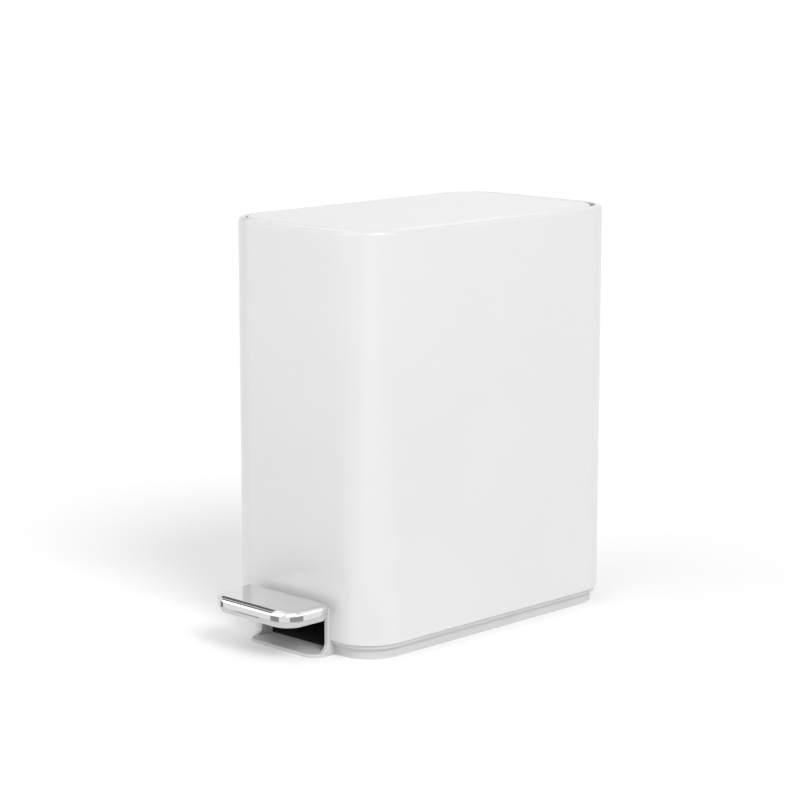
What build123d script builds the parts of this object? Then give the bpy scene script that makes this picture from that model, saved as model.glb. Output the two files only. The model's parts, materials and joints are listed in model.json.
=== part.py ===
from build123d import *
import math
import os

os.makedirs("parts", exist_ok=True)

# Slim pedal bin, millimetres, +Z up. The origin is on the floor under the middle of the body's plan,
# the pedal faces -Y and the lid hinges at +Y.

# Body: one wrap of sheet steel with a rolled rim
body_width = 147.0
body_depth = 255.0
body_corner = 30.0
body_bottom = 11.0
body_height = 284.0
steel = 1.0
rim_width = 5.0
rim_round = 3.2
lip_depth = 4.0

# Fits shared by many pieces
seat_gap = 0.3
pin_fit = 0.05
slot_fit = 0.1

# Base ring: plastic skirt, flange and the frame round the pedal opening
flange_thickness = 3.0
flange_inset = 2.0
skirt_inset = 5.0
base_wall = 2.0
ledge_inset = 14.0
upstand_height = 17.0
opening_width = 63.4
opening_height = 30.6
cheek_thickness = 3.6
bezel_bar = 1.5
bezel_proud = 1.8
bezel_depth = 9.3
tongue_reach = 15.0
tongue_thickness = 2.4
tongue_corner = 10.0
tongue_round = 1.2
cheek_sweep = 7.0
cutout_gap = 0.25

# Feet and base screws
foot_radius = 6.0
foot_seat_radius = 8.0
foot_thickness = 1.5
base_screw_inset = 11.0
base_screw_spread = 120.0
screw_radius = 1.5
screw_head_radius = 3.0
screw_head_height = 1.6
screw_boss_radius = 4.0
screw_boss_height = 6.0

# Chassis: black moulding with the sunk well that the pedal lever moves in
chassis_wall = 2.0
well_lift = 0.5
well_end_room = 4.1
hood_length = 25.0
axle_boss_radius = 7.0
axle_boss_length = 6.0

# Lid and its hinge
lid_height = 8.0
lid_steel = 0.8
lid_gap = 1.5
lid_rear_gap = 2.5
lid_rear_corner = 27.0
lid_round = 1.5
lid_open = 75.0
hinge_setback = 14.0
hinge_drop = 5.0
hinge_pin_radius = 2.0
liner_wall = 1.6
liner_fit = 0.2
liner_bay_width = 68.0
liner_bay_gap = 3.0
skin_notch_height = 4.0
lid_screw_spread = 90.0
lid_screw_front = 36.0
lid_screw_pitch = 145.0
lid_screw_bite = 3.2
arm_plate = 2.0
arm_front = 15.0
arm_rear = 5.5
knuckle_spread = 42.0
knuckle_radius = 4.0
crank_radius = 13.0
crank_angle = 45.0
crank_spread = 16.0
crank_pin_radius = 2.0
crank_eye_radius = 4.0

# Hinge bracket on the rear wall
bracket_plate = 1.5
bracket_width = 60.0
bracket_bottom_drop = 31.0
bracket_top_drop = 5.0
ear_notch_drop = 14.5
ear_thickness = 2.0
ear_head_radius = 3.8
ear_gap = 1.0
rivet_radius = 2.0
rivet_head_radius = 3.5
rivet_head_height = 1.0
rivet_pitch_across = 28.0
rivet_pitch_up = 13.0

# Top ring: collar inside the rim
ring_wall = 1.8
ring_step = 2.0
landing_inset = 10.0
landing_thickness = 2.0
bumper_height = 3.0
bumper_width = 2.4
bumper_length = 12.0
front_bumper_spread = 50.0
side_bumper_y = 60.0
bucket_ledge_inset = 15.0
ring_height = 34.0
beam_thickness = 4.0
rear_bay = 41.0

# Back cover and rod guide
cover_thickness = 2.0
cover_width = 138.0
cover_overlap = 16.0
cover_notch_width = 32.0
cover_notch_height = 33.0
cover_screw_spread = 100.0
guide_width = 16.0
guide_height = 10.0
guide_behind_rod = 4.0
guide_level = 150.0

# Push rod
rod_radius = 2.0
rod_head_width = 13.0
rod_foot_width = 15.0
rod_wall = 2.5
rod_socket = 10.0
head_play = 0.7

# Pedal
pedal_width = 82.0
pedal_rear_gap = 5.0
pedal_length = 40.2
pedal_corner = 17.0
pedal_rear_corner = 3.0
pedal_top = 38.8
cap_height = 7.3
cap_wall = 1.5
cap_round = 2.8
cap_fit = 0.2
under_height = 5.0
under_taper = 2.0
under_rear_taper = 3.5
under_step = 0.4
pedal_bumper_radius = 4.5
pedal_bumper_height = 8.2
pedal_bumper_setback = 8.7
pedal_bumper_stem = 2.0
pedal_bumper_stem_height = 3.5
pedal_bumper_round = 2.4
pedal_screw_spread = 14.0
pedal_screw_setback = 22.0
pedal_screw_head = 1.0
pedal_screw_length = 8.0

# Pedal lever and its axle
strap_width = 24.0
strap_thickness = 3.0
strap_skin = 1.5
strap_end_setback = 14.0
strap_bend = 15.5
strap_low_level = 24.0
strap_ramp = 62.0
axle_level = 16.0
axle_setback = 96.5
axle_radius = 3.0
axle_end = 2.0
clip_thickness = 0.9
clip_radius = 5.0
groove_depth = 0.5
lever_ear = 3.0
lever_eye_radius = 7.0
bush_wall = 1.0
bush_shoulder_radius = 6.0
lever_pin_radius = 2.0
lever_pin_level = 14.0
fork_eye_radius = 5.0
fork_length = 14.0

# Inner bucket and its bail
bucket_gap = 0.5
bucket_flange = 2.0
bucket_lip = 6.0
bucket_wall = 1.8
bucket_floor_level = 46.0
bucket_draft = 5.0
bucket_rear_corner = 8.0
bail_wire_radius = 1.5
bail_rest_gap = 0.5
bail_pivot_y = -20.0
bail_reach = 66.0
bail_bend = 12.0
bail_hook_bend = 1.9
bail_edge = 2.0
bail_ear = 1.8
bail_ear_length = 8.0
grip_radius = 4.0
grip_length = 50.0

# Levels and planes that follow from the sizes above
body_top = body_bottom + body_height
front = -body_depth / 2
rear = body_depth / 2
side = body_width / 2
flange_bottom = body_bottom - flange_thickness
upstand_inset = steel + seat_gap
upstand_inner = upstand_inset + base_wall
opening_half = opening_width / 2
bezel_half = opening_half + cheek_thickness
bezel_front = front - bezel_proud
tongue_front = front - tongue_reach
bezel_back = bezel_front + bezel_depth
bezel_top = tongue_thickness + opening_height + bezel_bar
well_half = opening_half + chassis_wall
chassis_top = body_bottom + chassis_wall
chassis_inset = upstand_inner + seat_gap

lid_inset = rim_width + lid_gap
lid_half = side - lid_inset
lid_front = front + lid_inset
lid_rear = rear - rim_width - lid_rear_gap
lid_corner = body_corner - lid_inset
lid_bottom = body_top - lid_height
skin_under = body_top - lid_steel
liner_inset = lid_steel + liner_fit
hinge_y = lid_rear - hinge_setback
hinge_z = body_top - hinge_drop
bay_front = hinge_y - arm_front - liner_bay_gap
bay_half = liner_bay_width / 2

crank_drop = crank_radius * math.sin(math.radians(crank_angle))
crank_reach = crank_radius * math.cos(math.radians(crank_angle))
crank_y = hinge_y - crank_reach
crank_z = hinge_z - crank_drop
rod_rise = crank_drop + crank_radius * math.sin(math.radians(lid_open - crank_angle))
crank_sway = crank_radius - crank_reach
rod_y = crank_y - crank_sway / 2
lever_rear = rod_y + fork_eye_radius
well_rear = lever_rear + well_end_room + chassis_wall

ring_inset = steel + seat_gap
ring_inner = ring_inset + ring_wall
ring_top = body_top - steel - lip_depth
ring_bottom = ring_top - ring_height
landing_top = lid_bottom - bumper_height
bucket_ledge_top = ring_bottom + ring_wall
beam_rear = rear - rear_bay
beam_front = beam_rear - beam_thickness

cover_rear = beam_rear + cover_thickness
cover_top = ring_bottom + cover_overlap
cover_screw_z = ring_bottom + cover_overlap / 2
rivet_z = hinge_z - (bracket_bottom_drop + bracket_top_drop) / 2

pedal_rear = front - pedal_rear_gap
pedal_front = pedal_rear - pedal_length
pedal_half = pedal_width / 2
cap_bottom = pedal_top - cap_height
under_bottom = cap_bottom - under_height
strap_bottom = under_bottom + strap_skin
strap_top = strap_bottom + strap_thickness
strap_front = pedal_front + strap_end_setback
axle_y = front + axle_setback
clip_x = opening_half + axle_boss_length
clip_room = clip_radius + seat_gap
axle_overhang = clip_thickness + axle_end + seat_gap
lever_length = rod_y - axle_y
ear_centre = strap_width / 2 - lever_ear / 2
bush_outer = axle_radius + pin_fit + bush_wall

# Pedal angle that raises the lever's rear pin by the rod's rise
lever_span = math.hypot(lever_length, axle_level - lever_pin_level)
lever_start = math.atan2(lever_pin_level - axle_level, lever_length)
lever_end = math.asin((lever_pin_level - axle_level + rod_rise) / lever_span)
pedal_angle = math.degrees(lever_end - lever_start)
lever_sway = lever_length - lever_span * math.cos(lever_end)

bucket_half = side - landing_inset - bucket_gap
bucket_front = front + landing_inset + bucket_gap
bucket_rear = beam_front - bucket_gap
bucket_corner = body_corner - landing_inset - bucket_gap
bucket_top = bucket_ledge_top + bucket_flange
bail_x = bucket_half - bail_edge
bail_z = bucket_top + bail_rest_gap + bail_wire_radius
bail_y = bail_pivot_y - bail_reach
bail_ear_outer = bail_x - bail_wire_radius - bail_rest_gap

foot_offset = body_corner - (body_corner - ledge_inset) / math.sqrt(2)
feet = [(sx * (side - foot_offset), sy * (rear - foot_offset)) for sx in (-1, 1) for sy in (-1, 1)]
base_screw_x = side - base_screw_inset
base_screws_at = [(sx * base_screw_x, sy * base_screw_spread / 2) for sx in (-1, 1) for sy in (-1, 1)]
lid_screw_rows = (lid_front + lid_screw_front, lid_front + lid_screw_front + lid_screw_pitch)
lid_screws_at = [(sx * lid_screw_spread / 2, y) for sx in (-1, 1) for y in lid_screw_rows]


def body_outline(inset, mode=Mode.ADD):
    """The body's plan outline, drawn in by an inset."""
    return RectangleRounded(body_width - 2 * inset, body_depth - 2 * inset, body_corner - inset, mode=mode)


def plan_outline(half, front_y, rear_y, front_corner, rear_corner=0, mode=Mode.ADD):
    """A plan rectangle with its own front and rear corner radii."""
    with BuildSketch(mode=Mode.PRIVATE) as outline:
        with Locations((0, (front_y + rear_y) / 2)):
            Rectangle(2 * half, rear_y - front_y)
        fillet(outline.vertices().group_by(Axis.Y)[0], front_corner)
        if rear_corner:
            fillet(outline.vertices().group_by(Axis.Y)[-1], rear_corner)
    return add(outline.sketch, mode=mode)


def side_box(half, front_y, rear_y, mode=Mode.ADD):
    """A plan rectangle from one depth to another, centred on the middle plane."""
    with Locations((0, (front_y + rear_y) / 2)):
        return Rectangle(2 * half, rear_y - front_y, mode=mode)


def top_edges(piece):
    return piece.faces().sort_by(Axis.Z)[-1].edges()


def rear_plane(y, z):
    """A plane that faces the rear, with its own X across the bin."""
    return Plane(origin=(0, y, z), x_dir=(1, 0, 0), z_dir=(0, 1, 0))


def peg(radius, length, mode=Mode.ADD):
    """A cylinder that stands on its location."""
    return Cylinder(radius, length, align=(Align.CENTER, Align.CENTER, Align.MIN), mode=mode)


def hanging_peg(radius, length, mode=Mode.ADD):
    """A cylinder that hangs below its location."""
    return Cylinder(radius, length, align=(Align.CENTER, Align.CENTER, Align.MAX), mode=mode)


def save(piece, name):
    piece.part.label = name
    export_step(piece.part, f"parts/{name}.step")


# Body shell
with BuildPart() as shell_bore:
    with BuildSketch(Plane.XY.offset(body_bottom)):
        body_outline(steel)
    extrude(amount=body_height - steel)
    fillet(top_edges(shell_bore), rim_round - steel)

with BuildPart() as body_shell:
    with BuildSketch(Plane.XY.offset(body_bottom)):
        body_outline(0)
    extrude(amount=body_height)
    fillet(top_edges(body_shell), rim_round)
    add(shell_bore.part, mode=Mode.SUBTRACT)
    with BuildSketch(Plane.XY.offset(body_top - steel)):
        body_outline(rim_width)
    extrude(amount=steel, mode=Mode.SUBTRACT)
    with BuildSketch(Plane.XY.offset(ring_top)):
        body_outline(rim_width - steel)
        body_outline(rim_width, mode=Mode.SUBTRACT)
    extrude(amount=lip_depth)
    # Opening in the front wall for the base ring's frame
    with BuildSketch(Plane.XZ.offset(-front)):
        with Locations((0, (bezel_top + cutout_gap + body_bottom) / 2)):
            Rectangle(2 * (bezel_half + cutout_gap), bezel_top + cutout_gap - body_bottom)
    extrude(amount=-steel, mode=Mode.SUBTRACT)
    # Rivet holes in the rear wall
    with Locations(rear_plane(rear, rivet_z)):
        with GridLocations(rivet_pitch_across, rivet_pitch_up, 2, 2):
            Hole(rivet_radius + pin_fit, depth=steel)
save(body_shell, "body_shell")

# Frame round the pedal opening, whose cheeks sweep down into the tongue under the pedal
with BuildPart() as bezel:
    with BuildSketch(Plane.YZ):
        with BuildLine():
            Polyline(
                (bezel_front - cheek_sweep, tongue_thickness),
                (tongue_front, tongue_thickness),
                (tongue_front, 0),
                (bezel_back, 0),
                (bezel_back, bezel_top),
                (bezel_front, bezel_top),
                (bezel_front, tongue_thickness + cheek_sweep),
            )
            CenterArc((bezel_front - cheek_sweep, tongue_thickness + cheek_sweep), cheek_sweep, -90, 90)
        make_face()
    extrude(amount=bezel_half, both=True)
    with BuildSketch():
        plan_outline(bezel_half, tongue_front, bezel_back, tongue_corner)
    extrude(amount=bezel_top, mode=Mode.INTERSECT)
    with BuildSketch(Plane.XZ.offset(-tongue_front)):
        with Locations((0, tongue_thickness + opening_height / 2)):
            Rectangle(opening_width, opening_height)
    extrude(amount=tongue_front - bezel_back, mode=Mode.SUBTRACT)
    tongue_rim = bezel.edges().filter_by_position(Axis.Z, tongue_thickness, tongue_thickness)
    fillet(tongue_rim.sort_by(Axis.Y)[:3], tongue_round)

# Base ring
with BuildPart() as base_ring:
    with BuildSketch():
        body_outline(skirt_inset)
        body_outline(skirt_inset + base_wall, mode=Mode.SUBTRACT)
        with Locations(feet):
            Circle(foot_seat_radius)
    extrude(amount=flange_bottom)
    with BuildSketch(Plane.XY.offset(flange_bottom)):
        body_outline(flange_inset)
        body_outline(ledge_inset, mode=Mode.SUBTRACT)
    extrude(amount=flange_thickness)
    with BuildSketch(Plane.XY.offset(body_bottom)):
        body_outline(upstand_inset)
        body_outline(upstand_inner, mode=Mode.SUBTRACT)
    extrude(amount=upstand_height)
    # Room for the pedal opening and the chassis well
    with BuildSketch():
        side_box(opening_half, front, bezel_back)
        side_box(well_half + seat_gap, bezel_back, front + ledge_inset + seat_gap)
    extrude(amount=bezel_top, mode=Mode.SUBTRACT)
    add(bezel.part)
    with BuildSketch():
        with Locations(feet):
            Circle(foot_radius + seat_gap)
    extrude(amount=foot_thickness, mode=Mode.SUBTRACT)
    with Locations(*[(x, y, flange_bottom) for x, y in base_screws_at]):
        peg(screw_radius + slot_fit, flange_thickness, mode=Mode.SUBTRACT)
save(base_ring, "base_ring")

# Chassis
with BuildPart() as chassis:
    with BuildSketch(Plane.XY.offset(body_bottom)):
        body_outline(chassis_inset)
        side_box(bezel_half + seat_gap, front, bezel_back, mode=Mode.SUBTRACT)
    extrude(amount=chassis_wall)
    with BuildSketch(Plane.XY.offset(well_lift)):
        side_box(well_half, bezel_back, well_rear)
    extrude(amount=chassis_top - well_lift)
    with BuildSketch(Plane.XY.offset(chassis_top)):
        side_box(well_half, bezel_back, bezel_back + hood_length)
    extrude(amount=bezel_top - chassis_top)
    with BuildSketch(Plane.YZ.offset(opening_half)):
        with Locations((axle_y, axle_level)):
            Circle(axle_boss_radius)
    extrude(amount=axle_boss_length)
    mirror(about=Plane.YZ)
    with Locations(*[(x, y, chassis_top) for x, y in base_screws_at]):
        peg(screw_boss_radius, screw_boss_height)
    # Hollow of the well, open to the front and above
    with BuildSketch(Plane.XY.offset(well_lift + chassis_wall)):
        side_box(opening_half, bezel_back, well_rear - chassis_wall)
    extrude(amount=bezel_top - well_lift - 2 * chassis_wall, mode=Mode.SUBTRACT)
    with BuildSketch(Plane.XY.offset(chassis_top)):
        side_box(opening_half, bezel_back + hood_length, well_rear - chassis_wall)
    extrude(amount=bezel_top, mode=Mode.SUBTRACT)
    with Locations(Plane(origin=(0, axle_y, axle_level), z_dir=(1, 0, 0))):
        Cylinder(axle_radius + pin_fit, 2 * (opening_half + axle_boss_length), mode=Mode.SUBTRACT)
    # Window in the floor round each end of the axle and its clip
    with BuildSketch(Plane.XY.offset(body_bottom)):
        side_box(clip_x + axle_overhang, axle_y - clip_room, axle_y + clip_room)
        side_box(clip_x, axle_y - clip_room, axle_y + clip_room, mode=Mode.SUBTRACT)
    extrude(amount=chassis_wall, mode=Mode.SUBTRACT)
    with Locations(*[(x, y, body_bottom) for x, y in base_screws_at]):
        peg(screw_radius + pin_fit, chassis_wall + screw_boss_height, mode=Mode.SUBTRACT)
save(chassis, "chassis")

# Base screws, up through the flange's ledge into the chassis bosses
with BuildPart() as base_screws:
    with Locations(*[(x, y, flange_bottom) for x, y in base_screws_at]):
        hanging_peg(screw_head_radius, screw_head_height)
        peg(screw_radius, flange_thickness + chassis_wall + screw_boss_height)
save(base_screws, "base_screws")

# Rubber feet, set flush into the skirt's corners
with BuildPart() as rubber_feet:
    with BuildSketch():
        with Locations(feet):
            Circle(foot_radius)
    extrude(amount=foot_thickness)
save(rubber_feet, "rubber_feet")

# Top ring
with BuildPart() as top_ring:
    with BuildSketch(Plane.XY.offset(ring_bottom)):
        body_outline(ring_inset)
        body_outline(ring_inner, mode=Mode.SUBTRACT)
    extrude(amount=ring_height)
    with BuildSketch(Plane.XY.offset(ring_top - ring_step)):
        body_outline(ring_inset)
        body_outline(rim_width, mode=Mode.SUBTRACT)
    extrude(amount=ring_step)
    # Landing for the lid's pads, ending before the rear bay
    with BuildSketch(Plane.XY.offset(landing_top - landing_thickness)):
        body_outline(ring_inset)
        body_outline(landing_inset, mode=Mode.SUBTRACT)
        side_box(side, beam_rear, rear, mode=Mode.SUBTRACT)
    extrude(amount=landing_thickness)
    # Ledge that the bucket hangs from, closed at the rear by the cross beam
    with BuildSketch(Plane.XY.offset(ring_bottom)):
        body_outline(ring_inset)
        plan_outline(
            side - bucket_ledge_inset,
            front + bucket_ledge_inset,
            beam_front - bucket_lip + bucket_gap,
            body_corner - bucket_ledge_inset,
            bucket_rear_corner,
            mode=Mode.SUBTRACT,
        )
        side_box(side, beam_rear, rear, mode=Mode.SUBTRACT)
    extrude(amount=ring_wall)
    with BuildSketch(Plane.XY.offset(ring_bottom)):
        side_box(side - ring_inset, beam_front, beam_rear)
    extrude(amount=landing_top - ring_bottom)
    # Gap in the rear wall for the hinge bracket
    with BuildSketch(Plane.XY.offset(ring_bottom)):
        side_box(bracket_width / 2 + ear_gap, beam_rear, rear)
    extrude(amount=ring_height - ring_step, mode=Mode.SUBTRACT)
    with Locations(rear_plane(beam_rear, cover_screw_z)):
        with GridLocations(cover_screw_spread, 1, 2, 1):
            Hole(screw_radius + pin_fit, depth=beam_thickness)
save(top_ring, "top_ring")

# Pads that the lid closes on: two at the front, one at each side
pad_inset = (lid_inset + landing_inset) / 2
with BuildPart() as lid_bumpers:
    with BuildSketch(Plane.XY.offset(landing_top)):
        for hand in (-1, 1):
            with Locations((hand * front_bumper_spread / 2, front + pad_inset)):
                Rectangle(bumper_length, bumper_width)
            with Locations((hand * (side - pad_inset), side_bumper_y)):
                Rectangle(bumper_width, bumper_length)
    extrude(amount=bumper_height)
save(lid_bumpers, "lid_bumpers")

# Hinge bracket: a plate on the rear wall with two ears that carry the pin
plate_front = rear - steel - bracket_plate
ear_inner = knuckle_spread / 2 + arm_plate / 2 + ear_gap
with BuildPart() as hinge_bracket:
    with BuildSketch(Plane.XY.offset(hinge_z - bracket_bottom_drop)):
        side_box(bracket_width / 2, plate_front, rear - steel)
    extrude(amount=bracket_bottom_drop - bracket_top_drop)
    with BuildSketch(Plane.YZ.offset(ear_inner)):
        with BuildLine():
            Polyline(
                (hinge_y - ear_head_radius, hinge_z),
                (hinge_y - ear_head_radius, hinge_z - bracket_bottom_drop + hinge_setback),
                (plate_front, hinge_z - bracket_bottom_drop),
                (plate_front, hinge_z - ear_notch_drop),
                (hinge_y + ear_gap, hinge_z - ear_notch_drop),
                (hinge_y + ear_gap, hinge_z),
                close=True,
            )
        make_face()
        with Locations((hinge_y, hinge_z)):
            Circle(ear_head_radius)
            Circle(hinge_pin_radius + pin_fit, mode=Mode.SUBTRACT)
    extrude(amount=ear_thickness)
    mirror(about=Plane.YZ)
    with Locations(rear_plane(rear - steel, rivet_z)):
        with GridLocations(rivet_pitch_across, rivet_pitch_up, 2, 2):
            Hole(rivet_radius + pin_fit, depth=bracket_plate)
save(hinge_bracket, "hinge_bracket")

with BuildPart() as hinge_rivets:
    with BuildSketch(rear_plane(plate_front, rivet_z)):
        with GridLocations(rivet_pitch_across, rivet_pitch_up, 2, 2):
            Circle(rivet_radius)
    extrude(amount=bracket_plate + steel)
    for head_plane, direction in ((plate_front, -1), (rear, 1)):
        with BuildSketch(rear_plane(head_plane, rivet_z)):
            with GridLocations(rivet_pitch_across, rivet_pitch_up, 2, 2):
                Circle(rivet_head_radius)
        extrude(amount=direction * rivet_head_height)
save(hinge_rivets, "hinge_rivets")

with BuildPart() as hinge_pin:
    with BuildSketch(Plane.YZ):
        with Locations((hinge_y, hinge_z)):
            Circle(hinge_pin_radius)
    extrude(amount=ear_inner + ear_thickness + ear_gap, both=True)
save(hinge_pin, "hinge_pin")

# Back cover between the bucket and the push rod
with BuildPart() as back_cover:
    with BuildSketch(Plane.XY.offset(chassis_top)):
        side_box(cover_width / 2, beam_rear, cover_rear)
    extrude(amount=cover_top - chassis_top)
    with BuildSketch(Plane.XY.offset(chassis_top)):
        side_box(cover_notch_width / 2, beam_rear, cover_rear)
    extrude(amount=cover_notch_height, mode=Mode.SUBTRACT)
    with Locations(rear_plane(cover_rear, cover_screw_z)):
        with GridLocations(cover_screw_spread, 1, 2, 1):
            Hole(screw_radius + slot_fit, depth=cover_thickness)
save(back_cover, "back_cover")

with BuildPart() as cover_screws:
    with BuildSketch(rear_plane(cover_rear, cover_screw_z)):
        with GridLocations(cover_screw_spread, 1, 2, 1):
            Circle(screw_radius)
    extrude(amount=-cover_thickness - beam_thickness)
    with BuildSketch(rear_plane(cover_rear, cover_screw_z)):
        with GridLocations(cover_screw_spread, 1, 2, 1):
            Circle(screw_head_radius)
    extrude(amount=screw_head_height)
save(cover_screws, "cover_screws")

with BuildPart() as rod_guide:
    with BuildSketch(Plane.XY.offset(guide_level)):
        side_box(guide_width / 2, cover_rear, rod_y + guide_behind_rod)
        with Locations((0, rod_y)):
            Circle(rod_radius + slot_fit, mode=Mode.SUBTRACT)
    extrude(amount=guide_height)
save(rod_guide, "rod_guide")

# Pedal axle and its clips
with BuildPart() as pedal_axle:
    with BuildSketch(Plane.YZ):
        with Locations((axle_y, axle_level)):
            Circle(axle_radius)
    extrude(amount=clip_x + clip_thickness + axle_end, both=True)
    for end in (-1, 1):
        with BuildSketch(Plane.YZ.offset(end * clip_x)):
            with Locations((axle_y, axle_level)):
                Circle(axle_radius)
                Circle(axle_radius - groove_depth, mode=Mode.SUBTRACT)
        extrude(amount=end * (clip_thickness + slot_fit), mode=Mode.SUBTRACT)
save(pedal_axle, "pedal_axle")

with BuildPart() as axle_clips:
    with BuildSketch(Plane.YZ.offset(clip_x)):
        with Locations((axle_y, axle_level)):
            Circle(clip_radius)
            Circle(axle_radius - groove_depth + pin_fit, mode=Mode.SUBTRACT)
    extrude(amount=clip_thickness)
    mirror(about=Plane.YZ)
save(axle_clips, "axle_clips")

# Lid skin: a shallow steel pan with studs for the liner
with BuildPart() as skin_hollow:
    with BuildSketch(Plane.XY.offset(lid_bottom)):
        plan_outline(
            lid_half - lid_steel,
            lid_front + lid_steel,
            lid_rear - lid_steel,
            lid_corner - lid_steel,
            lid_rear_corner - lid_steel,
        )
    extrude(amount=lid_height - lid_steel)
    fillet(top_edges(skin_hollow), lid_round - lid_steel)

with BuildPart() as lid_skin:
    with BuildSketch(Plane.XY.offset(lid_bottom)):
        plan_outline(lid_half, lid_front, lid_rear, lid_corner, lid_rear_corner)
    extrude(amount=lid_height)
    fillet(top_edges(lid_skin), lid_round)
    add(skin_hollow.part, mode=Mode.SUBTRACT)
    with BuildSketch(Plane.XY.offset(lid_bottom)):
        side_box(bay_half, hinge_y, lid_rear)
    extrude(amount=skin_notch_height, mode=Mode.SUBTRACT)
    with Locations(*[(x, y, skin_under) for x, y in lid_screws_at]):
        hanging_peg(screw_head_radius, skin_under - lid_bottom - liner_wall)
        hanging_peg(screw_radius + pin_fit, skin_under - lid_bottom - liner_wall, mode=Mode.SUBTRACT)
save(lid_skin, "lid_skin")

# Lid liner: an upturned plastic tray under the skin
with BuildPart() as lid_liner:
    with BuildSketch(Plane.XY.offset(lid_bottom)):
        plan_outline(
            lid_half - liner_inset,
            lid_front + liner_inset,
            lid_rear - liner_inset,
            lid_corner - liner_inset,
            lid_rear_corner - liner_inset,
        )
    extrude(amount=lid_height - lid_round - liner_fit)
    with BuildSketch(Plane.XY.offset(lid_bottom + liner_wall)):
        plan_outline(
            lid_half - liner_inset - liner_wall,
            lid_front + liner_inset + liner_wall,
            lid_rear - liner_inset - liner_wall,
            lid_corner - liner_inset - liner_wall,
            lid_rear_corner - liner_inset - liner_wall,
        )
    extrude(amount=lid_height, mode=Mode.SUBTRACT)
    with BuildSketch(Plane.XY.offset(lid_bottom)):
        side_box(bay_half, bay_front, lid_rear)
    extrude(amount=lid_height, mode=Mode.SUBTRACT)
    with Locations(*[(x, y, lid_bottom) for x, y in lid_screws_at]):
        peg(screw_radius + slot_fit, liner_wall, mode=Mode.SUBTRACT)
save(lid_liner, "lid_liner")

with BuildPart() as lid_screws:
    with Locations(*[(x, y, lid_bottom) for x, y in lid_screws_at]):
        hanging_peg(screw_head_radius, screw_head_height)
        peg(screw_radius, liner_wall + lid_screw_bite)
save(lid_screws, "lid_screws")

# Lid arm: hinge knuckles and crank plates under one plate welded to the skin
with BuildPart() as lid_arm:
    with BuildSketch(Plane.XY.offset(skin_under - arm_plate)):
        side_box(knuckle_spread / 2 + arm_plate / 2, hinge_y - arm_front, hinge_y + arm_rear)
    extrude(amount=arm_plate)
    for plate_x in (-knuckle_spread / 2, knuckle_spread / 2):
        with BuildSketch(Plane.YZ.offset(plate_x - arm_plate / 2)):
            with Locations((hinge_y, (hinge_z + skin_under - arm_plate) / 2)):
                Rectangle(2 * knuckle_radius, skin_under - arm_plate - hinge_z)
            with Locations((hinge_y, hinge_z)):
                Circle(knuckle_radius)
                Circle(hinge_pin_radius + pin_fit, mode=Mode.SUBTRACT)
        extrude(amount=arm_plate)
    for plate_x in (-crank_spread / 2, crank_spread / 2):
        with BuildSketch(Plane.YZ.offset(plate_x - arm_plate / 2)):
            with BuildLine():
                Polyline(
                    (hinge_y - arm_front, skin_under - arm_plate),
                    (crank_y - crank_eye_radius, crank_z),
                    (crank_y + crank_eye_radius, crank_z),
                    (crank_y + crank_eye_radius, skin_under - arm_plate),
                    close=True,
                )
            make_face()
            with Locations((crank_y, crank_z)):
                Circle(crank_eye_radius)
                Circle(crank_pin_radius + pin_fit, mode=Mode.SUBTRACT)
        extrude(amount=arm_plate)
save(lid_arm, "lid_arm")

with BuildPart() as crank_pin:
    with BuildSketch(Plane.YZ):
        with Locations((crank_y, crank_z)):
            Circle(crank_pin_radius)
    extrude(amount=(crank_spread + arm_plate) / 2 + ear_gap, both=True)
save(crank_pin, "crank_pin")

# Push rod with its slotted head and foot
head_half_height = crank_pin_radius + head_play + rod_wall
head_bottom = crank_z - head_half_height - rod_socket
foot_half_height = lever_pin_radius + slot_fit + rod_wall
foot_top = lever_pin_level + foot_half_height + rod_socket
with BuildPart() as push_rod:
    with BuildSketch(Plane.XY.offset(foot_top - rod_socket)):
        with Locations((0, rod_y)):
            Circle(rod_radius)
    extrude(amount=head_bottom + rod_socket - foot_top + rod_socket)
save(push_rod, "push_rod")

with BuildPart() as rod_head:
    with BuildSketch(Plane.YZ):
        with Locations((rod_y, crank_z)):
            SlotCenterToCenter(crank_sway, 2 * head_half_height)
        with Locations((rod_y, (head_bottom + crank_z) / 2)):
            Rectangle(2 * (rod_radius + rod_wall), crank_z - head_bottom)
        with Locations((rod_y, crank_z)):
            SlotCenterToCenter(crank_sway, 2 * (crank_pin_radius + head_play), mode=Mode.SUBTRACT)
    extrude(amount=rod_head_width / 2, both=True)
    with Locations((0, rod_y, head_bottom)):
        peg(rod_radius + pin_fit, rod_socket, mode=Mode.SUBTRACT)
save(rod_head, "rod_head")

with BuildPart() as rod_foot:
    with BuildSketch(Plane.YZ):
        with Locations((rod_y - lever_sway / 2, lever_pin_level)):
            SlotCenterToCenter(lever_sway + slot_fit, 2 * foot_half_height)
        with Locations((rod_y, (foot_top + lever_pin_level) / 2)):
            Rectangle(2 * (rod_radius + rod_wall), foot_top - lever_pin_level)
        with Locations((rod_y - lever_sway / 2, lever_pin_level)):
            SlotCenterToCenter(lever_sway + slot_fit, 2 * (lever_pin_radius + slot_fit), mode=Mode.SUBTRACT)
    extrude(amount=rod_foot_width / 2, both=True)
    with Locations((0, rod_y, foot_top)):
        hanging_peg(rod_radius + pin_fit, rod_socket, mode=Mode.SUBTRACT)
save(rod_foot, "rod_foot")

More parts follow.
